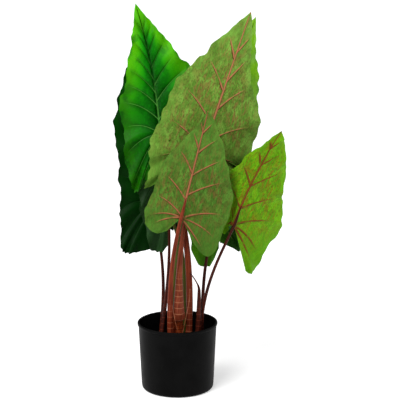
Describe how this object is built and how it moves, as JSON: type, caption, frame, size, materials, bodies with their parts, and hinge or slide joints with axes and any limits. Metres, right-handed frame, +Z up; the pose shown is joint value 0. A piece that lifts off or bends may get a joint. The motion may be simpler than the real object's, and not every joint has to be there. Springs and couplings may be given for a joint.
{
  "type": "potted giant taro",
  "caption": "Giant taro with big heart-shaped wavy leaves on long reddish stalks, rising from a short trunk in a black round nursery pot.",
  "frame": {"origin": "middle of the flat underside of the pot, which stands on the floor", "axes": "+Z up along the pot's axis, +X to the right and +Y away from someone who sees the plant as in the picture"},
  "size_m": [0.3876, 0.253, 0.8591],
  "materials": {
    "pot": "satin",
    "soil": "matte",
    "trunk": "satin",
    "stalk_brown": "satin",
    "stalk_maroon": "satin",
    "leaf_upper": "satin",
    "leaf_upper_shaded": "satin",
    "leaf_underside": "satin",
    "leaf_underside_yellow": "satin"
  },
  "bodies": {
    "root": {"pot": "pot", "soil": "soil", "trunk": "trunk", "sheath_right": "stalk_maroon", "blade_front": "leaf_underside", "stalk_front": "stalk_brown", "blade_right": "leaf_underside_yellow", "stalk_right": "stalk_maroon", "blade_centre": "leaf_underside", "stalk_centre": "stalk_brown", "blade_behind_centre": "leaf_upper", "stalk_behind_centre": "stalk_brown", "blade_tall": "leaf_upper", "stalk_tall": "stalk_brown", "blade_far_left": "leaf_upper_shaded", "stalk_far_left": "stalk_maroon", "blade_low_back": "leaf_upper_shaded", "stalk_low_back": "stalk_brown", "blade_middle_left": "leaf_upper_shaded", "stalk_middle_left": "stalk_maroon", "blade_back_right": "leaf_underside", "stalk_back_right": "stalk_maroon"}
  },
  "joints": []
}
